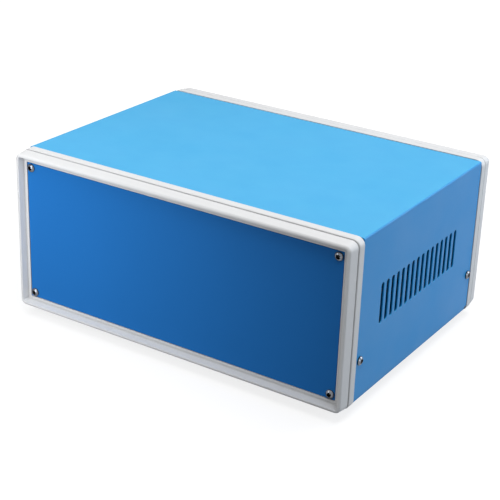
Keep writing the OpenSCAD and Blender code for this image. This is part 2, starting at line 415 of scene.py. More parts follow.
class Effect:
    """Shader effect kept as one node group and placed in several materials."""

    name: str = ""
    inputs: dict[str, str] = {}
    outputs: dict[str, str] = {}

    def tree(self) -> bpy.types.NodeTree:
        """Node group of the effect, built the first time it is asked for.

        Returns:
            The group.
        """
        found = bpy.data.node_groups.get(self.name)
        if found:
            return found
        tree = bpy.data.node_groups.new(self.name, "ShaderNodeTree")
        for name, kind in self.inputs.items():
            tree.interface.new_socket(name, in_out="INPUT", socket_type=kind)
        for name, kind in self.outputs.items():
            tree.interface.new_socket(name, in_out="OUTPUT", socket_type=kind)
        wiring = Wiring(tree)
        given = wiring.add("NodeGroupInput").outputs
        made = wiring.add("NodeGroupOutput").inputs
        for name, socket in self.wire(wiring, given).items():
            wiring.feed(socket, made[name])
        return tree

    def wire(self, wiring: Wiring, given: Outputs) -> Sockets:
        """Builds the nodes of the effect; each effect has its own."""
        raise NotImplementedError

    def place(self, wiring: Wiring, values: dict[str, object]) -> Outputs:
        """Puts the effect into a material.

        Args:
            wiring: The material's wiring.
            values: Values or sockets for the group's inputs.

        Returns:
            The group's outputs.
        """
        return wiring.add("ShaderNodeGroup", values, node_tree=self.tree()).outputs


class ToneDrift(Effect):
    """Slow change of a colour's lightness over a surface."""

    name = "tone_drift"
    inputs = {"Color": COLOR, "Scale": VALUE, "Amount": VALUE}
    outputs = {"Color": COLOR}
    detail = 3.0

    def wire(self, wiring: Wiring, given: Outputs) -> Sockets:
        """Lightens and darkens the colour by slow noise.

        Args:
            wiring: The group's wiring.
            given: The group's inputs.

        Returns:
            The group's outputs by name.
        """
        low = wiring.math("SUBTRACT", 1.0, given["Amount"])
        high = wiring.math("ADD", 1.0, given["Amount"])
        value = wiring.spread(wiring.noise(given["Scale"], self.detail), (low, high))
        inputs = {"Color": given["Color"], "Value": value}
        return {"Color": wiring.add("ShaderNodeHueSaturation", inputs).outputs["Color"]}


class FineGrain(Effect):
    """Fine relief of a sprayed or moulded surface, with slow patches that are smoother or rougher."""

    name = "fine_grain"
    inputs = {"Grain": VALUE, "Wave": VALUE, "Wave Share": VALUE}
    outputs = {"Height": VALUE, "Patch": VALUE}
    grain_detail = 2.0
    wave_detail = 1.0
    patch_detail = 3.0
    patch_share = 0.04

    def wire(self, wiring: Wiring, given: Outputs) -> Sockets:
        """Mixes fine grain with a longer wave.

        Args:
            wiring: The group's wiring.
            given: The group's inputs.

        Returns:
            The group's outputs by name.
        """
        grain = wiring.noise(given["Grain"], self.grain_detail)
        wave = wiring.noise(given["Wave"], self.wave_detail)
        height = wiring.mix(Mix.VALUES, given["Wave Share"], grain, wave)
        patch_scale = wiring.math("MULTIPLY", given["Wave"], self.patch_share)
        patch = wiring.noise(patch_scale, self.patch_detail)
        return {"Height": height, "Patch": patch}


class DustAndTopLight(Effect):
    """Film of colour on upward faces: a real dusting on the bezel and the feet, and on the cover painted
    light that makes the top lighter and bluer.
    """

    name = "dust_and_top_light_film"
    inputs = {"Color": COLOR, "Dust": COLOR, "Amount": VALUE}
    outputs = {"Color": COLOR, "Film": VALUE}
    level_range = (0.6, 1.0)
    patch_scale = 60.0
    patch_detail = 4.0
    patch_range = (0.85, 1.0)

    def wire(self, wiring: Wiring, given: Outputs) -> Sockets:
        """Mixes the film's colour into the colour where the surface is level.

        Args:
            wiring: The group's wiring.
            given: The group's inputs.

        Returns:
            The group's outputs by name.
        """
        normal = wiring.add("ShaderNodeNewGeometry").outputs["Normal"]
        upright = wiring.add("ShaderNodeSeparateXYZ", {"Vector": normal}).outputs["Z"]
        level = wiring.ease(upright, self.level_range)
        patchy = wiring.spread(wiring.noise(self.patch_scale, self.patch_detail), self.patch_range)
        film = wiring.math("MULTIPLY", wiring.math("MULTIPLY", level, patchy), given["Amount"])
        return {"Color": wiring.mix(Mix.COLORS, film, given["Color"], given["Dust"]), "Film": film}


class PaintedRecessShade(Effect):
    """Painted shade: colour taken towards black where ambient occlusion finds a hollow, such as a screw's
    recess or a crease of the bezel.
    """

    name = "painted_recess_shade"
    inputs = {"Color": COLOR, "Openness": VALUE, "Amount": VALUE}
    outputs = {"Color": COLOR}
    closing_range = (0.96, 0.66)

    def wire(self, wiring: Wiring, given: Outputs) -> Sockets:
        """Paints shade: takes the colour towards black as the surface closes in.

        Args:
            wiring: The group's wiring.
            given: The group's inputs.

        Returns:
            The group's outputs by name.
        """
        closed = wiring.ease(given["Openness"], self.closing_range)
        shade = wiring.math("MULTIPLY", closed, given["Amount"])
        return {"Color": wiring.mix(Mix.COLORS, shade, given["Color"], BLACK)}


@dataclass(frozen=True)
class Finish:
    """Procedural finish of one material slot. Colours are linear, grain counts are per metre."""

    name: str
    slot: str
    color: Rgb
    roughness: float
    roughness_spread: float
    specular: float
    drift: float
    drift_scale: float
    grain: float
    wave: float
    wave_share: float
    relief: float
    # Share and colour of the film on upward faces: a real dusting on the bezel and the feet, painted light
    # on the cover's top.
    dust: float
    metallic: float = 0.0
    # Painted shade in hollows: recess is how far their colour is taken towards black, the reach is how far
    # the occlusion looks.
    recess: float = 0.0
    recess_shade_reach: float = 2.2 * MM
    dust_and_top_light_color: Rgb = (0.62, 0.66, 0.70)

    def material(self) -> bpy.types.Material:
        """Material of the finish, built the first time it is asked for.

        Returns:
            The material.
        """
        found = bpy.data.materials.get(self.name)
        if found:
            return found
        material = bpy.data.materials.new(self.name)
        material.use_nodes = True
        wiring = Wiring(material.node_tree)
        shader = material.node_tree.nodes["Principled BSDF"]
        shader.inputs["Metallic"].default_value = self.metallic
        shader.inputs["Specular IOR Level"].default_value = self.specular
        self.wire(wiring, shader)
        return material

    def wire(self, wiring: Wiring, shader: bpy.types.Node) -> None:
        """Feeds the shader's colour, roughness and relief.

        Args:
            wiring: The material's wiring.
            shader: The material's surface shader.
        """
        drift = {"Color": (*self.color, 1.0), "Scale": self.drift_scale, "Amount": self.drift}
        tone = ToneDrift().place(wiring, drift)["Color"]
        # Film on upward faces: painted light on the cover's top, a dusting elsewhere.
        dust_and_top_light_inputs = {"Color": tone, "Dust": (*self.dust_and_top_light_color, 1.0), "Amount": self.dust}
        dust_and_top_light_layer = DustAndTopLight().place(wiring, dust_and_top_light_inputs)
        color = dust_and_top_light_layer["Color"]
        # Painted shade: colour taken towards black in hollows found by ambient occlusion.
        if self.recess:
            around = wiring.add("ShaderNodeAmbientOcclusion", {"Distance": self.recess_shade_reach})
            shaded = {"Color": color, "Openness": around.outputs["AO"], "Amount": self.recess}
            color = PaintedRecessShade().place(wiring, shaded)["Color"]
        relief = {"Grain": self.grain, "Wave": self.wave, "Wave Share": self.wave_share}
        grain = FineGrain().place(wiring, relief)
        limits = (self.roughness - self.roughness_spread, self.roughness + self.roughness_spread)
        rough = wiring.math("ADD", wiring.spread(grain["Patch"], limits), dust_and_top_light_layer["Film"])
        bump = {"Strength": 1.0, "Distance": self.relief, "Height": grain["Height"]}
        wiring.feed(color, shader.inputs["Base Color"])
        wiring.feed(rough, shader.inputs["Roughness"])
        wiring.feed(wiring.add("ShaderNodeBump", bump).outputs["Normal"], shader.inputs["Normal"])


COVER_PAINT = Finish(
    "sprayed_cover", "cover_paint",
    color=(0.006, 0.237, 0.575), roughness=0.46, roughness_spread=0.05, specular=0.33,
    # Painted light: the film on upward faces is a light sky blue that makes the cover's top lighter and
    # bluer.
    drift=0.02, drift_scale=9.0, grain=2600.0, wave=620.0, wave_share=0.6, relief=0.02 * MM, dust=0.27,
    dust_and_top_light_color=(0.25, 0.80, 0.93),
)
PANEL_PAINT = Finish(
    "sprayed_panel", "panel_paint",
    color=(0.017, 0.158, 0.480), roughness=0.42, roughness_spread=0.04, specular=0.03,
    drift=0.02, drift_scale=9.0, grain=2600.0, wave=620.0, wave_share=0.6, relief=0.015 * MM, dust=0.0,
)
BEZEL_PLASTIC = Finish(
    "moulded_bezel", "bezel_plastic",
    color=(0.645, 0.645, 0.648), roughness=0.5, roughness_spread=0.05, specular=0.28,
    drift=0.012, drift_scale=25.0, grain=4200.0, wave=900.0, wave_share=0.3, relief=0.02 * MM, dust=0.03,
    # Painted shade in the bezel's groove, its creases and the strip beside the panel.
    recess=0.22, recess_shade_reach=3.0 * MM,
)
SCREW_ZINC = Finish(
    "zinc_plate", "screw_steel",
    # Colour far darker than bright zinc: painted shade, for the dark surroundings that the heads reflect.
    color=(0.17, 0.18, 0.20), roughness=0.2, roughness_spread=0.05, specular=0.5,
    drift=0.06, drift_scale=700.0, grain=6000.0, wave=1500.0, wave_share=0.5, relief=0.01 * MM, dust=0.0,
    # Painted shade that blackens the cross recess and the head's edge beside the panel.
    metallic=1.0, recess=0.97,
)
FOOT_RUBBER = Finish(
    "black_rubber", "foot_rubber",
    color=(0.022, 0.022, 0.024), roughness=0.72, roughness_spread=0.08, specular=0.3,
    drift=0.15, drift_scale=150.0, grain=5000.0, wave=1200.0, wave_share=0.4, relief=0.04 * MM, dust=0.06,
    dust_and_top_light_color=(0.2, 0.2, 0.2),
)


def hand_over(skin: Skin, name: str, node: str, finish: Finish) -> None:
    """Makes a finished piece of a skin and sets it in the place of a CAD node.

    Args:
        skin: Skin of the piece, which is used up.
        name: Name of the piece.
        node: CAD node that it stands for.
        finish: Its finish.
    """
    data = skin.mesh(name)
    data.shade_smooth()
    data.set_sharp_from_angle(angle=CREASE)
    data.materials.append(finish.material())
    piece = stand(name, data)
    shading = piece.modifiers.new("flat faces stay flat", "WEIGHTED_NORMAL")
    shading.keep_sharp = True
    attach(piece, BODY)
    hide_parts(node)
    LOG.info("%s: %d faces, stands for %s", name, len(data.polygons), node)


@dataclass(frozen=True)
class CutOut:
    """Round or round-ended hole in a flat blank, its run along the blank's length."""

    u: float
    v: float
    radius: float
    half_run: float = 0.0

    def outline(self, grow: float) -> list[Flat]:
        """Closed outline of the hole.

        Args:
            grow: Distance that its edge is moved outwards.

        Returns:
            Points of the outline.
        """
        kept = HOLE_STEPS + 1 if self.half_run else HOLE_STEPS
        ends = [(self.half_run, -90), (-self.half_run, 90)]
        radius = self.radius + grow
        points = []
        for run, start in ends:
            points += arc((self.u + run, self.v), radius, start, start + 180, HOLE_STEPS)[:kept]
        return points


@dataclass(frozen=True)
class Blank:
    """Sheet blank with holes and rounded edges, modelled flat and carried to its place by a mapping."""

    stations: Sequence[float]
    half_v: float
    sheet: float
    edge_r: float
    place: Callable[[float, float, float], Point]
    cuts: Sequence[CutOut]

    def rim(self, inset: float, depth: float) -> list[Point]:
        """Closed line round the blank.

        Args:
            inset: Distance in from the blank's edge.
            depth: Distance below its outer face.

        Returns:
            Points of the line, one at each station along either edge.
        """
        runs = [self.stations[0] + inset, *self.stations[1:-1], self.stations[-1] - inset]
        v = self.half_v - inset
        near = [self.place(u, -v, depth) for u in runs]
        return near + [self.place(u, v, depth) for u in reversed(runs)]

    def face(self, skin: Skin, rim: Ring, holes: Sequence[Ring]) -> None:
        """Closes one face of the sheet, stretch by stretch between its stations.

        Args:
            skin: Skin of the sheet.
            rim: Edge of the face.
            holes: Edges of the holes in it, in the order of the cut-outs.
        """
        last = len(self.stations) - 1
        for i in range(last):
            outline = [rim[i], rim[i + 1], rim[2 * last - i], rim[2 * last + 1 - i]]
            start, stop = self.stations[i], self.stations[i + 1]
            inside = [hole for hole, cut in zip(holes, self.cuts) if start < cut.u < stop]
            if inside:
                skin.web([outline, *inside])
            else:
                skin.cap(outline)

    def skin(self) -> Skin:
        """Closes the sheet's faces, edges and holes.

        Returns:
            Closed skin of the sheet.
        """
        skin = Skin()
        edge = sheet_edge(self.sheet, self.edge_r)
        rims = [skin.ring(self.rim(*step)) for step in edge]
        holes = []
        for cut in self.cuts:
            rings = []
            for inset, depth in edge:
                rings.append(skin.ring(self.place(u, v, depth) for u, v in cut.outline(inset)))
            skin.loft(rings)
            holes.append(rings)
        skin.loft(rims)
        for level in (0, -1):
            self.face(skin, rims[level], [rings[level] for rings in holes])
        return skin


@dataclass(frozen=True)
class Channel:
    """Sheet folded into a channel: two legs, two round folds and the web between them."""

    width: float
    height: float
    fold_r: float
    edge_z: float
    opening: Opening

    @property
    def leg(self) -> float:
        """Flat height of a leg."""
        return self.height - self.fold_r

    @property
    def fold(self) -> float:
        """Length round the outside of a fold."""
        return self.fold_r * math.pi / 2

    @property
    def length(self) -> float:
        """Length of the blank, edge to edge over the web."""
        return 2 * (self.leg + self.fold) + self.width - 2 * self.fold_r

    def stations(self) -> list[float]:
        """Places along the blank where the section changes or bends."""
        half = [0.0] + [self.leg + self.fold * i / FOLD_STEPS for i in range(FOLD_STEPS + 1)]
        return half + [self.length - u for u in reversed(half)]

    def on_leg(self, hand: Hand, rise: float) -> float:
        """Place along the blank of a point on one leg, by its distance from the open edge."""
        return rise if hand is Hand.LEFT else self.length - rise

    def on_web(self, x: float) -> float:
        """Place along the blank of a point on the web."""
        return self.length / 2 + x

    def place(self, u: float, v: float, depth: float) -> Point:
        """Takes a point of the flat blank to its place in the folded sheet.

        Args:
            u: Distance along the blank from its left edge.
            v: Distance along the fold lines.
            depth: Distance below the outer face.

        Returns:
            The point.
        """
        mirrored = u > self.length / 2
        run = self.length - u if mirrored else u
        if run <= self.leg:
            x, z = depth, run
        elif run <= self.leg + self.fold:
            angle = (run - self.leg) / self.fold_r
            reach = self.fold_r - depth
            x, z = self.fold_r - reach * math.cos(angle), self.leg + reach * math.sin(angle)
        else:
            x, z = self.fold_r + run - self.leg - self.fold, self.height - depth
        x -= self.width / 2
        return (-x if mirrored else x, v, self.edge_z + self.opening.value * z)


@dataclass
class FoldedSheet:
    """What the cover and the base have in common: sheet, folds, edges and screw holes."""

    node: str
    name: str
    sheet: float = 1.0 * MM
    fold_r: float = 1.4 * MM
    edge_r: float = 0.25 * MM
    hole_r: float = 1.7 * MM
    hole_inset: float = 4.5 * MM

    def fold(self, opening: Opening) -> Channel:
        """Channel that fills the CAD node's box.

        Args:
            opening: Way that it opens.

        Returns:
            The channel.
        """
        low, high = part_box(self.node)
        edge_z = low.z if opening is Opening.DOWN else high.z
        return Channel(high.x - low.x, high.z - low.z, self.fold_r, edge_z, opening)

    @property
    def half_d(self) -> float:
        """Half the sheet's depth."""
        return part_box(self.node)[1].y

    def hole_y(self, end: End) -> float:
        """Place of the screw holes near one end."""
        return end.value * (self.half_d - self.hole_inset)

    def dress(self, channel: Channel, cuts: Sequence[CutOut]) -> None:
        """Makes the finished sheet of its folds and holes."""
        blank = Blank(channel.stations(), self.half_d, self.sheet, self.edge_r, channel.place, cuts)
        hand_over(blank.skin(), self.name, self.node, COVER_PAINT)


@dataclass
class Cover(FoldedSheet):
    """Folded top cover with a bank of vent slots in each side."""

    node: str = "top_cover"
    name: str = "cover_sheet"
    vent_count: int = 16
    vent_pitch: float = 6.65 * MM
    vent_w: float = 3.4 * MM
    vent_len: float = 27.0 * MM
    vent_rise: float = 53.5 * MM
    vent_shift: float = -2.0 * MM
    hole_rise: float = 25.0 * MM

    def build(self) -> None:
        """Builds the cover."""
        channel = self.fold(Opening.DOWN)
        half_run = (self.vent_len - self.vent_w) / 2
        cuts = []
        for hand in Hand:
            for i in range(self.vent_count):
                y = self.vent_shift + (i - (self.vent_count - 1) / 2) * self.vent_pitch
                cuts.append(CutOut(channel.on_leg(hand, self.vent_rise), y, self.vent_w / 2, half_run))
            for end in End:
                cuts.append(CutOut(channel.on_leg(hand, self.hole_rise), self.hole_y(end), self.hole_r))
        self.dress(channel, cuts)


@dataclass
class Base(FoldedSheet):
    """Folded base with holes for the screws of the cover, the bezels and the feet."""

    node: str = "base_tray"
    name: str = "base_sheet"
    hole_drop: float = 7.0 * MM
    bezel_hole_x: float = 62.0 * MM
    foot_hole_r: float = 1.75 * MM

    def build(self) -> None:
        """Builds the base."""
        channel = self.fold(Opening.UP)
        cuts = []
        for end in End:
            y = self.hole_y(end)
            for hand in Hand:
                cuts.append(CutOut(channel.on_leg(hand, self.hole_drop), y, self.hole_r))
                cuts.append(CutOut(channel.on_web(hand.value * self.bezel_hole_x), y, self.hole_r))
        for foot in Foot.NODES:
            middle = middle_of(foot)
            cuts.append(CutOut(channel.on_web(middle.x), middle.y, self.foot_hole_r))
        self.dress(channel, cuts)


@dataclass
class Panel:
    """Flat panel that lies in a bezel's recess, with a screw hole at each corner."""

    end: End
    edge_r: float = 0.2 * MM
    hole_r: float = 1.7 * MM
    hole_inset: float = 3.25 * MM

    @property
    def node(self) -> str:
        """CAD node of the panel."""
        return f"{self.end.name.lower()}_panel"

    def build(self) -> None:
        """Builds the panel."""
        low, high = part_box(self.node)
        middle = (low + high) / 2
        half = (high - low) / 2
        sign = self.end.value

        def place(u: float, v: float, depth: float) -> Point:
            """Takes a point of the flat panel to its place in the bezel."""
            return (middle.x + u, middle.y + sign * (half.y - depth), middle.z + v)

        reach_u, reach_v = half.x - self.hole_inset, half.z - self.hole_inset
        cuts = [CutOut(a * reach_u, b * reach_v, self.hole_r) for a, b in product(SIGNS, SIGNS)]
        blank = Blank([-half.x, half.x], half.z, 2 * half.y, self.edge_r, place, cuts)
        hand_over(blank.skin(), f"{self.node}_sheet", self.node, PANEL_PAINT)


@dataclass
class Bezel:
    """Moulded bezel: a flange, a groove, a rounded rim round the panel's recess and a tongue behind."""

    end: End
    depth: float = 15.0 * MM
    flange_d: float = 5.8 * MM
    corner_r: float = 5.0 * MM
    groove_w: float = 0.8 * MM
    groove_depth: float = 1.4 * MM
    rim_lip: float = 0.4 * MM
    rim_step: float = 1.1 * MM
    rim_r: float = 1.7 * MM
    rim_w: float = 6.9 * MM
    rim_inner_r: float = 0.6 * MM
    slope_w: float = 1.9 * MM
    strip_w: float = 2.1 * MM
    strip_d: float = 4.4 * MM
    recess_d: float = 4.7 * MM
    panel_t: float = 1.5 * MM
    ledge_w: float = 3.0 * MM
    ledge_t: float = 2.0 * MM
    wall: float = 4.8 * MM
    tongue_inset: float = 1.7 * MM
    tongue_low_inset: float = 2.9 * MM
    tongue_l: float = 10.0 * MM
    tongue_r: float = 1.4 * MM
    tongue_split: float = -18.3 * MM
    edge_r: float = 0.2 * MM
    flange_r: float = 0.7 * MM
    rim_back_r: float = 0.4 * MM
    corner_in_r: float = 0.5 * MM
    screw_inset: float = 10.5 * MM
    boss_r: float = 4.05 * MM
    post_l: float = 11.2 * MM
    rib_t: float = 2.0 * MM
    rib_pitch: float = 40.0 * MM
    rib_count: int = 5
    bore_r: float = 1.5 * MM
    bore_l: float = 8.6 * MM
    cover_screw_z: float = -25.5 * MM
    cover_boss_l: float = 10.3 * MM
    bezel_screw_x: float = 62.0 * MM
    bezel_boss_l: float = 10.0 * MM
    screw_depth: float = 19.7 * MM
    bore_lead: float = 1.0 * MM
    half_w: float = field(init=False)
    half_h: float = field(init=False)
    mid_z: float = field(init=False)
    face_y: float = field(init=False)

    @property
    def node(self) -> str:
        """CAD node of the bezel."""
        return f"{self.end.name.lower()}_bezel"

    @property
    def ledge_d(self) -> float:
        """Depth of the ledge that the panel lies on."""
        return self.recess_d + self.panel_t

    def __post_init__(self) -> None:
        """Reads the flange's outline from the CAD node."""
        low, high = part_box(self.node)
        self.half_w, self.half_h = (high.x - low.x) / 2, (high.z - low.z) / 2
        self.mid_z = (high.z + low.z) / 2
        self.face_y = low.y if self.end is End.FRONT else high.y

    def place(self, x: float, z: float, depth: float) -> Point:
        """Takes a point by its distance behind the bezel's face to its place in the case."""
        return (x, self.face_y - self.end.value * depth, self.mid_z + z)

    def panel_screw(self, sx: int, sz: int) -> Flat:
        """Place of the panel's screw in one corner, by the corner's signs."""
        return (sx * (self.half_w - self.screw_inset), sz * (self.half_h - self.screw_inset))

    def outline(self, inset: float, low_inset: float, radius: float) -> list[Flat]:
        """Rounded outline that may be narrower below the tongue's step than above it.

        Args:
            inset: Distance in from the flange's outline.
            low_inset: The same at the sides below the step.
            radius: Radius of the corners.

        Returns:
            Points of the outline, counter-clockwise from the right side's step.
        """
        step = self.edge_r
        points = [(self.half_w - inset, self.tongue_split + step)]
        for quarter, (sx, sz) in enumerate(((1, 1), (-1, 1), (-1, -1), (1, -1))):
            side = inset if sz > 0 else low_inset
            centre = (sx * (self.half_w - side - radius), sz * (self.half_h - inset - radius))
            if quarter == 2:
                points.append((inset - self.half_w, self.tongue_split + step))
                points.append((low_inset - self.half_w, self.tongue_split))
            points += arc(centre, radius, 90 * quarter, 90 * quarter + 90, CORNER_STEPS)
        points.append((self.half_w - low_inset, self.tongue_split))
        return points

    def section(self) -> list[Flat]:
        """Section of the rim.

        Returns:
            Inset and depth of each point, from the flange's back round its front to the cavity.
        """
        edge, back_r = self.edge_r, self.rim_back_r
        flange = self.depth - self.flange_d
        rim_back = flange - self.groove_w
        strip = self.rim_w - self.strip_w
        face, reach = strip - self.slope_w, self.strip_d - self.rim_inner_r
        slope = math.hypot(self.slope_w, reach)
        lean = math.atan2(reach, self.slope_w) - math.acos(self.rim_inner_r / slope)
        ledge = self.ledge_d
        through = self.rim_w + self.ledge_w
        return [
            *arc((edge, self.depth - edge), edge, 90, 180, EDGE_STEPS),
            *arc((self.flange_r, flange + self.flange_r), self.flange_r, 180, 270, CORNER_STEPS),
            *arc((self.groove_depth - edge, flange - edge), edge, 90, 0, EDGE_STEPS),
            *arc((self.groove_depth - edge, rim_back + edge), edge, 0, -90, EDGE_STEPS),
            *arc((self.rim_lip + back_r, rim_back - back_r), back_r, 90, 180, EDGE_STEPS),
            *arc((self.rim_step + self.rim_r, self.rim_r), self.rim_r, 180, 270, CORNER_STEPS),
            *arc((face, self.rim_inner_r), self.rim_inner_r, 270, 360 + math.degrees(lean), CORNER_STEPS),
            (strip, self.strip_d),
            *arc((self.rim_w - edge, self.strip_d + edge), edge, 270, 360, EDGE_STEPS),
            (self.rim_w, ledge),
            (through, ledge),
            (through, ledge + self.ledge_t),
            (self.wall, ledge + self.ledge_t),
            (self.wall, self.depth + self.tongue_l),
        ]

    def shell(self) -> Skin:
        """Sweeps the section round the bezel and joins the tongue to it.

        Returns:
            Closed skin of the rim, the ledge and the tongue.
        """
        skin = Skin()
        rings = []
        for inset, depth in self.section():
            radius = max(self.corner_r - inset, self.corner_in_r)
            line = self.outline(inset, inset, radius)
            rings.append(skin.ring(self.place(x, z, depth) for x, z in line))
        line = self.outline(self.tongue_inset, self.tongue_low_inset, self.tongue_r)
        for depth in (self.depth + self.tongue_l, self.depth):
            rings.append(skin.ring(self.place(x, z, depth) for x, z in line))
        skin.loft(rings, round_trip=True)
        return skin

    def stiffeners(self) -> Skin:
        """Adds posts for the panel's screws, ribs along the long walls and blocks for the other screws.

        Returns:
            Closed skins that reach a little into the shell.
        """
        skin = Skin()
        ledge, bite, tongue_end = self.ledge_d, self.edge_r, self.depth + self.tongue_l
        reach = self.screw_inset - self.wall + bite
        post = [(reach, -self.boss_r), (reach, reach), (-self.boss_r, reach)]
        post += arc((0, 0), self.boss_r, 180, 270, CORNER_STEPS)
        for sx in SIGNS:
            for sz in SIGNS:
                x, z = self.panel_screw(sx, sz)
                line = [(x + sx * a, z + sz * b) for a, b in post]
                skin.prism(line, ledge + bite, ledge + self.post_l, self.place)
            inner = sx * (self.half_w - self.tongue_low_inset - self.cover_boss_l)
            outer = sx * (self.half_w - self.wall + bite)
            low, high = self.cover_screw_z - self.boss_r, self.cover_screw_z + self.boss_r
            side_block = rectangle(inner, outer, low, high)
            skin.prism(side_block, self.depth, tongue_end - bite, self.place)
            left, right = sx * self.bezel_screw_x - self.boss_r, sx * self.bezel_screw_x + self.boss_r
            low = self.wall - bite - self.half_h
            high = self.tongue_inset + self.bezel_boss_l - self.half_h
            floor_block = rectangle(left, right, low, high)
            skin.prism(floor_block, self.depth, tongue_end - bite, self.place)
        for i in range(self.rib_count):
            middle = (i - (self.rib_count - 1) / 2) * self.rib_pitch
            left, right = middle - self.rib_t / 2, middle + self.rib_t / 2
            for sz in SIGNS:
                low = sz * (self.half_h - self.rim_w - self.ledge_w)
                high = sz * (self.half_h - self.wall + bite)
                skin.prism(rectangle(left, right, low, high), ledge + bite, self.depth, self.place)
        return skin

    def bores(self) -> Skin:
        """Adds the round holes that the screws are driven into.

        Returns:
            Closed skins of the holes, to be cut away.
        """
        skin = Skin()
        disc = circle(self.bore_r, BORE_STEPS)
        lead, ledge = self.bore_lead, self.ledge_d
        wall, floor = self.half_w - self.tongue_low_inset, self.tongue_inset - self.half_h
        for sx in SIGNS:
            for sz in SIGNS:
                x, z = self.panel_screw(sx, sz)
                post = [(x + a, z + b) for a, b in disc]
                skin.prism(post, ledge - lead, ledge + self.bore_l, self.place)
            side = [(self.cover_screw_z + a, self.screw_depth + b) for a, b in disc]
            start, stop = sx * (wall + lead), sx * (wall - self.bore_l + lead)
            skin.prism(side, start, stop, lambda z, depth, x: self.place(x, z, depth))
            under = [(sx * self.bezel_screw_x + a, self.screw_depth + b) for a, b in disc]
            start, stop = floor - lead, floor + self.bore_l - lead
            skin.prism(under, start, stop, lambda x, depth, z: self.place(x, z, depth))
        return skin

    def build(self) -> None:
        """Builds the bezel."""
        moulding = combine(self.shell(), self.stiffeners(), Join.ADD)
        moulding = combine(moulding, self.bores(), Join.CUT)
        hand_over(moulding, f"{self.node}_moulding", self.node, BEZEL_PLASTIC)


def plain(height: float, angle: float) -> float:
    """Radius that a smooth turned surface adds at any height and angle."""
    return 0.0


def lathe(skin: Skin, profile: Sequence[Flat], ripple: Ripple = plain, closed: bool = False) -> list[Ring]:
    """Adds a turned surface about Z.

    Args:
        skin: Skin to add to.
        profile: Radius and height of each ring.
        ripple: Radius to add at a height and an angle, for a thread.
        closed: Whether the last ring is joined to the first.

    Returns:
        The rings, in the profile's order.
    """
    rings = []
    for radius, height in profile:
        points = []
        for i in range(TURN_STEPS):
            angle = 2 * math.pi * i / TURN_STEPS
            r = radius + ripple(height, angle)
            points.append((r * math.cos(angle), r * math.sin(angle), height))
        rings.append(skin.ring(points))
    skin.loft(rings, round_trip=closed)
    return rings


@dataclass(frozen=True)
class Screw:
    """Pan-head screw with a cross recess, its head up and seated on z = 0."""

    diameter: float
    head_d: float
    head_h: float
    length: float
    pitch: float
    point: Tip
    cross_l: float = 3.6 * MM
    cross_w: float = 1.7 * MM
    cross_depth: float = 1.4 * MM
    cross_arms: int = 4
    cross_l_ratio: float = 4.0
    cross_w_ratio: float = 3.0
    side_ratio: float = 3.0
    dome_start: float = 88.0
    edge_r: float = 0.15 * MM
    tip_l: float = 2.0 * MM
    tip_share: float = 0.3
    thread_share: float = 0.24
    thread_slope: float = 3.0
    rings_per_turn: int = 8

    def head(self) -> list[Flat]:
        """Section of the head.

        Returns:
            Radius and height of each point, from near the top to the shank.
        """
        radius, side = self.head_d / 2, self.head_h / self.side_ratio
        dome_h = self.head_h - side
        dome_r = (radius * radius + dome_h * dome_h) / (2 * dome_h)
        lip = math.degrees(math.asin((self.head_h - dome_r - side) / -dome_r))
        dome = arc((0.0, self.head_h - dome_r), dome_r, self.dome_start, lip, CORNER_STEPS)
        under = arc((radius - self.edge_r, self.edge_r), self.edge_r, 0, -90, EDGE_STEPS)
        return dome + under

    def thread(self, height: float, angle: float) -> float:
        """Radius that the thread takes off the shank at one height and angle.

        Args:
            height: Height below the head, as a negative number.
            angle: Angle about the screw's axis.

        Returns:
            The radius to add, zero or less.
        """
        deep = self.diameter * self.thread_share / 2
        phase = (height / self.pitch - angle / (2 * math.pi)) % 1.0
        return -deep * min(1.0, abs(phase - 0.5) * self.thread_slope)

    def shank(self) -> list[Flat]:
        """Section of the shank without its thread.

        Returns:
            Radius and height of each ring, from the head down.
        """
        radius = self.diameter / 2
        count = round(self.length / self.pitch * self.rings_per_turn)
        rings = []
        for i in range(1, count):
            height = -self.length * i / count
            left = (self.length + height) / self.tip_l
            taper = min(1.0, left) if self.point is Tip.CONE else 1.0
            rings.append((radius * max(taper, self.tip_share), height))
        return rings

    def recess(self) -> Skin:
        """Tapered cross in the head.

        Returns:
            Closed skin of the cross, to be cut away.
        """
        skin = Skin()
        rings = []
        floor = self.head_h - self.cross_depth
        for height, arm, half in (
            (self.head_h + self.edge_r, self.cross_l / 2, self.cross_w / 2),
            (floor, self.cross_l / self.cross_l_ratio, self.cross_w / self.cross_w_ratio),
        ):
            line = []
            for i in range(self.cross_arms):
                turn = 2 * math.pi * i / self.cross_arms
                c, s = math.cos(turn), math.sin(turn)
                for a, b in ((half, -half), (arm, -half), (arm, half)):
                    line.append((a * c - b * s, a * s + b * c, height))
            rings.append(skin.ring(line))
        skin.barrel(rings)
        return skin

    def skin(self) -> Skin:
        """Turns the head and the threaded shank and cuts the cross.

        Returns:
            Closed skin of the screw.
        """
        skin = Skin()
        head = lathe(skin, self.head())
        skin.cone(head[0], (0.0, 0.0, self.head_h))
        shank = lathe(skin, self.shank(), self.thread)
        skin.loft([head[-1], shank[0]])
        skin.cone(shank[-1], (0.0, 0.0, -self.length))
        return combine(skin, self.recess(), Join.CUT)


TAPPING = dict(diameter=2.9 * MM, head_d=5.6 * MM, head_h=2.0 * MM, pitch=1.1 * MM, point=Tip.CONE)
PANEL_SCREW = Screw(length=9.5 * MM, **TAPPING)
COVER_SCREW = Screw(length=9.5 * MM, **TAPPING)
BEZEL_SCREW = Screw(length=8.0 * MM, **TAPPING)
FOOT_SCREW = Screw(
    diameter=3.0 * MM, head_d=5.6 * MM, head_h=1.9 * MM, length=8.0 * MM, pitch=0.5 * MM, point=Tip.FLAT,
    thread_share=0.18,
)


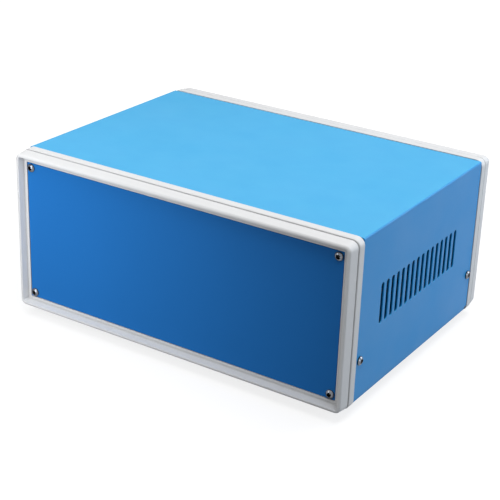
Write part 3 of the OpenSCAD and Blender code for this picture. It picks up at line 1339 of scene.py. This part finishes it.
@dataclass
class ScrewSet:
    """Screws of one kind in one node: they point the same way and stand at the corners of its box."""

    node: str
    screw: Screw
    axis: Point
    turn: float = 35.0

    def places(self) -> list[Matrix]:
        """Where the screws stand.

        Returns:
            One matrix for each screw, from its own frame to the case's.
        """
        low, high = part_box(self.node)
        axis = Vector(self.axis)
        seat = [(low if a > 0 else high)[k] + a * self.screw.length for k, a in enumerate(self.axis)]
        radius = self.screw.head_d / 2
        spots = []
        for k, along in enumerate(self.axis):
            ends = [low[k] + radius, high[k] - radius]
            if ends[1] - ends[0] < radius:
                ends = [(low[k] + high[k]) / 2]
            spots.append([seat[k]] if along else ends)
        lean = axis.to_track_quat("Z", "Y").to_matrix().to_4x4()
        places = []
        for i, spot in enumerate(product(*spots)):
            spin = Matrix.Rotation(math.radians(self.turn * (i + 1)), 4, "Z")
            places.append(Matrix.Translation(spot) @ lean @ spin)
        return places

    def build(self) -> None:
        """Builds all screws of the set as one piece."""
        screws = repeat(self.screw.skin(), self.places())
        hand_over(screws, f"{self.node}_set", self.node, SCREW_ZINC)


@dataclass
class Foot:
    """Tapered rubber foot with a stepped hole for its screw."""

    node: str
    taper: float = 0.8 * MM
    tread_r: float = 1.0 * MM
    edge_r: float = 0.4 * MM
    recess_r: float = 4.0 * MM
    hole_r: float = 1.75 * MM
    web: float = 3.5 * MM
    NODES = ("foot_front_left", "foot_front_right", "foot_rear_left", "foot_rear_right")

    def section(self, radius: float, height: float) -> list[Flat]:
        """Closed section of the rubber.

        Args:
            radius: Radius of the foot at the base.
            height: Height of the foot.

        Returns:
            Radius and height of each point, from the recess's lower edge outwards.
        """
        tread, edge, seat = radius - self.taper, self.edge_r, height - self.web
        return [
            *arc((self.recess_r + edge, edge), edge, 180, 270, EDGE_STEPS),
            *arc((tread - self.tread_r, self.tread_r), self.tread_r, 270, 360, 2 * EDGE_STEPS),
            *arc((radius - edge, height - edge), edge, 0, 90, EDGE_STEPS),
            (self.hole_r, height),
            (self.hole_r, seat),
            *arc((self.recess_r - edge, seat - edge), edge, 90, 0, EDGE_STEPS),
        ]

    def build(self) -> None:
        """Builds the foot."""
        low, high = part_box(self.node)
        skin = Skin()
        lathe(skin, self.section((high.x - low.x) / 2, high.z - low.z), closed=True)
        middle = Matrix.Translation(((low.x + high.x) / 2, (low.y + high.y) / 2, low.z))
        hand_over(repeat(skin, [middle]), f"{self.node}_rubber", self.node, FOOT_RUBBER)


@dataclass
class FootHardware:
    """Washers in the feet and nuts on the base's floor, one above each foot."""

    washers: str = "foot_washers"
    nuts: str = "foot_nuts"
    washer_r: float = 3.5 * MM
    washer_hole_r: float = 1.75 * MM
    edge_r: float = 0.12 * MM
    nut_w: float = 5.5 * MM
    nut_bore_r: float = 1.5 * MM
    nut_sides: int = 6
    chamfer: float = 30.0
    bore_lead: float = 1.0 * MM

    def spots(self, node: str) -> list[Matrix]:
        """Places above the feet.

        Args:
            node: CAD node whose lower side gives their level.

        Returns:
            One matrix for each foot.
        """
        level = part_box(node)[0].z
        middles = [middle_of(foot) for foot in Foot.NODES]
        return [Matrix.Translation((m.x, m.y, level)) for m in middles]

    def washer(self) -> Skin:
        """Flat ring with rounded edges.

        Returns:
            Closed skin of one washer.
        """
        low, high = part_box(self.washers)
        edge = sheet_edge(high.z - low.z, self.edge_r)
        outer = [(self.washer_r - inset, depth) for inset, depth in edge]
        inner = [(self.washer_hole_r + inset, depth) for inset, depth in reversed(edge)]
        skin = Skin()
        lathe(skin, outer + inner, closed=True)
        return skin

    def nut(self) -> Skin:
        """Hexagon nut with its corners chamfered and a bore through it.

        Returns:
            Closed skin of one nut.
        """
        low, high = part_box(self.nuts)
        height = high.z - low.z
        corner = self.nut_w / 2 / math.cos(math.pi / self.nut_sides)
        body = Skin()
        body.prism(circle(corner, self.nut_sides), 0.0, height, as_is)
        drop = (corner - self.nut_w / 2) * math.tan(math.radians(self.chamfer))
        flat_r, wide_r = self.nut_w / 2 - self.edge_r, corner + self.edge_r
        turned = Skin()
        rings = lathe(turned, [(flat_r, 0.0), (wide_r, drop), (wide_r, height - drop), (flat_r, height)])
        turned.cap(rings[0])
        turned.cap(rings[-1])
        bore = Skin()
        bore.prism(circle(self.nut_bore_r, BORE_STEPS), -self.bore_lead, height + self.bore_lead, as_is)
        return combine(combine(body, turned, Join.COMMON), bore, Join.CUT)

    def build(self) -> None:
        """Builds the washers and the nuts."""
        rings = repeat(self.washer(), self.spots(self.washers))
        nuts = repeat(self.nut(), self.spots(self.nuts))
        hand_over(rings, "foot_washer_rings", self.washers, SCREW_ZINC)
        hand_over(nuts, "foot_hex_nuts", self.nuts, SCREW_ZINC)


@dataclass(frozen=True)
class SoftBox:
    """Large soft lamp that looks at a point."""

    name: str
    place: Point
    aim: Point
    width: float
    height: float
    watts: float
    color: Rgb = (1.0, 1.0, 1.0)

    def build(self) -> None:
        """Hangs the lamp."""
        data = bpy.data.lights.new(self.name, "AREA")
        data.shape = "RECTANGLE"
        data.size, data.size_y = self.width, self.height
        data.energy = self.watts
        data.color = self.color
        lamp = stand(self.name, data)
        lamp.location = self.place
        lamp.rotation_euler = (Vector(self.aim) - Vector(self.place)).to_track_quat("-Z", "Y").to_euler()


COOL_WHITE = (0.96, 0.98, 1.0)
PALE_BLUE = (0.79, 0.89, 1.0)
LAMPS = (
    SoftBox("key_above", (0.03, 0.24, 1.08), (0.02, 0.03, 0.1), width=1.2, height=0.8, watts=9.4),
    SoftBox("high_front", (0.30, -0.36, 0.90), (0.0, -0.09, 0.06), width=0.5, height=0.3, watts=3.7),
    SoftBox(
        "front_left", (-0.13, -0.345, 0.15), (-0.28, -0.09, 0.05), width=0.20, height=0.34, watts=0.98,
        color=COOL_WHITE,
    ),
    SoftBox(
        "right", (1.30, -0.24, 0.30), (0.0, -0.09, 0.06), width=0.5, height=0.6, watts=2.8,
        color=PALE_BLUE,
    ),
    SoftBox(
        "right_back", (0.50, 0.42, 0.28), (0.125, 0.08, 0.06), width=0.25, height=0.25, watts=1.6,
        color=PALE_BLUE,
    ),
)


@dataclass
class Studio:
    """Pale floor, white surroundings, soft lamps and the camera."""

    floor_size: float = 12.0
    floor_gap: float = 0.2 * MM
    floor_color: Rgb = (0.25, 0.25, 0.253)
    floor_glow: float = 0.80
    floor_fade: tuple[float, float] = (0.20, 0.75)
    ambient: float = 0.01
    ambient_color: Rgb = (0.97, 0.98, 1.0)
    azimuth: float = 32.29
    elevation: float = 23.84
    roll: float = 2.13
    distance: float = 884.7 * MM
    target: Point = (3.76 * MM, -9.27 * MM, 51.36 * MM)
    lens: float = 95.5

    def seen(self, wiring: Wiring) -> Socket:
        """Tells what is looked at from what gives light.

        Args:
            wiring: Wiring of the floor or the world.

        Returns:
            Factor that is one for what the eye, a mirror or a clear piece sees.
        """
        path = wiring.add("ShaderNodeLightPath").outputs
        mirrored = wiring.math("MAXIMUM", path["Is Glossy Ray"], path["Is Transmission Ray"])
        return wiring.math("MAXIMUM", path["Is Camera Ray"], mirrored)

    def build_world(self) -> None:
        """White surroundings to look at, and a weaker even light to be lit by."""
        world = bpy.data.worlds.new("studio")
        bpy.context.scene.world = world
        world.use_nodes = True
        world.node_tree.nodes.clear()
        wiring = Wiring(world.node_tree)
        light = {"Color": (*self.ambient_color, 1.0), "Strength": self.ambient}
        even = wiring.add("ShaderNodeBackground", light)
        white = wiring.add("ShaderNodeBackground", {"Color": WHITE, "Strength": 1.0})
        inputs = {0: self.seen(wiring), 1: even.outputs[0], 2: white.outputs[0]}
        mixed = wiring.add("ShaderNodeMixShader", inputs)
        wiring.add("ShaderNodeOutputWorld", {"Surface": mixed.outputs[0]})

    def build_floor(self) -> None:
        """Pale floor that takes the object's shadow."""
        skin = Skin()
        half = self.floor_size / 2
        skin.cap(skin.ring((x, y, -self.floor_gap) for x, y in rectangle(-half, half, -half, half)))
        floor = stand("floor", skin.mesh("floor"))
        material = bpy.data.materials.new("floor")
        material.use_nodes = True
        material.node_tree.nodes.clear()
        wiring = Wiring(material.node_tree)
        matt = wiring.add("ShaderNodeBsdfDiffuse", {"Color": (*self.floor_color, 1.0)})
        place = wiring.add("ShaderNodeNewGeometry").outputs["Position"]
        away = wiring.add("ShaderNodeVectorMath", {0: place}, operation="LENGTH").outputs["Value"]
        white = wiring.ease(away, self.floor_fade, (self.floor_glow, 1.0))
        strength = wiring.math("MULTIPLY", self.seen(wiring), white)
        glow = wiring.add("ShaderNodeEmission", {"Strength": strength})
        both = wiring.add("ShaderNodeAddShader", {0: matt.outputs[0], 1: glow.outputs[0]})
        wiring.add("ShaderNodeOutputMaterial", {"Surface": both.outputs[0]})
        floor.data.materials.append(material)

    def build_camera(self) -> None:
        """Camera at the photograph's viewing angle."""
        around, up = math.radians(self.azimuth), math.radians(self.elevation)
        back = Vector((math.sin(around) * math.cos(up), -math.cos(around) * math.cos(up), math.sin(up)))
        right = Vector((math.cos(around), math.sin(around), 0.0))
        level = Matrix((right, back.cross(right), back)).transposed()
        turned = Matrix.Rotation(math.radians(self.roll), 3, back) @ level
        place = Vector(self.target) + self.distance * back
        data = bpy.data.cameras.new("photo_view")
        data.lens = self.lens
        camera = stand("photo_view", data)
        camera.matrix_world = Matrix.Translation(place) @ turned.to_4x4()
        bpy.context.scene.camera = camera

    def build(self) -> None:
        """Sets up the whole studio."""
        bpy.context.scene.view_settings.view_transform = "Standard"
        self.build_world()
        self.build_floor()
        self.build_camera()
        for lamp in LAMPS:
            lamp.build()


def main() -> None:
    """Builds the studio and every piece."""
    logging.basicConfig(level=logging.INFO, format="%(name)s: %(message)s")
    Studio().build()
    Cover().build()
    Base().build()
    for end in End:
        outwards = (0.0, float(end.value), 0.0)
        name = end.name.lower()
        Bezel(end).build()
        Panel(end).build()
        ScrewSet(f"{name}_panel_screws", PANEL_SCREW, outwards).build()
        ScrewSet(f"{name}_bezel_screws", BEZEL_SCREW, (0.0, 0.0, -1.0)).build()
    for hand in Hand:
        ScrewSet(f"{hand.name.lower()}_cover_screws", COVER_SCREW, (float(hand.value), 0.0, 0.0)).build()
    for node in Foot.NODES:
        Foot(node).build()
    ScrewSet("foot_screws", FOOT_SCREW, (0.0, 0.0, -1.0)).build()
    FootHardware().build()
    bpy.context.view_layer.update()


if __name__ == "__main__":
    main()
